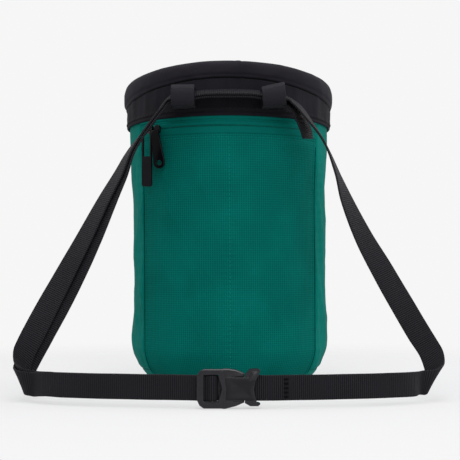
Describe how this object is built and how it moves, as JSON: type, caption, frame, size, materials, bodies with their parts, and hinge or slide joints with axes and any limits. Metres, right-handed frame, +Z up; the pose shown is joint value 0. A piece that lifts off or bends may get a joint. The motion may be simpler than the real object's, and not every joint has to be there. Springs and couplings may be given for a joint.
{
  "type": "climbing chalk bag with its waist belt",
  "caption": "Green cloth climbing chalk bag with a black padded rim, zip pocket and a buckled webbing waist belt laid out in front.",
  "frame": {"origin": "centre of the bag's flat base, on the floor", "axes": "+Z up along the bag, -Y towards the belt side with the zip pocket and the buckle, +X to the right seen from there"},
  "size_m": [0.269, 0.224, 0.2173],
  "materials": {
    "green_cloth": "matt plain weave",
    "green_ripstop": "matt fine ripstop weave",
    "black_cloth": "matt padded cloth",
    "black_webbing": "ribbed webbing with a slight sheen",
    "black_plastic": "satin moulded plastic",
    "gloss_black": "glossy black"
  },
  "bodies": {
    "root": {"bag_shell": "green_cloth", "pocket_panel": "green_ripstop", "zip_strip": "green_cloth", "zip_slider_plate": "gloss_black", "zip_slider_tab": "gloss_black", "zip_pull_plate": "gloss_black", "zip_pull_tab": "black_plastic", "yoke_band": "black_cloth", "rim_roll": "black_cloth", "belt_loop_left": "black_webbing", "belt_loop_right": "black_webbing", "belt_left": "black_webbing", "belt_tail_left": "black_webbing", "belt_right": "black_webbing", "belt_tail_right": "black_webbing", "buckle_female": "black_plastic", "buckle_male": "black_plastic"}
  },
  "joints": []
}
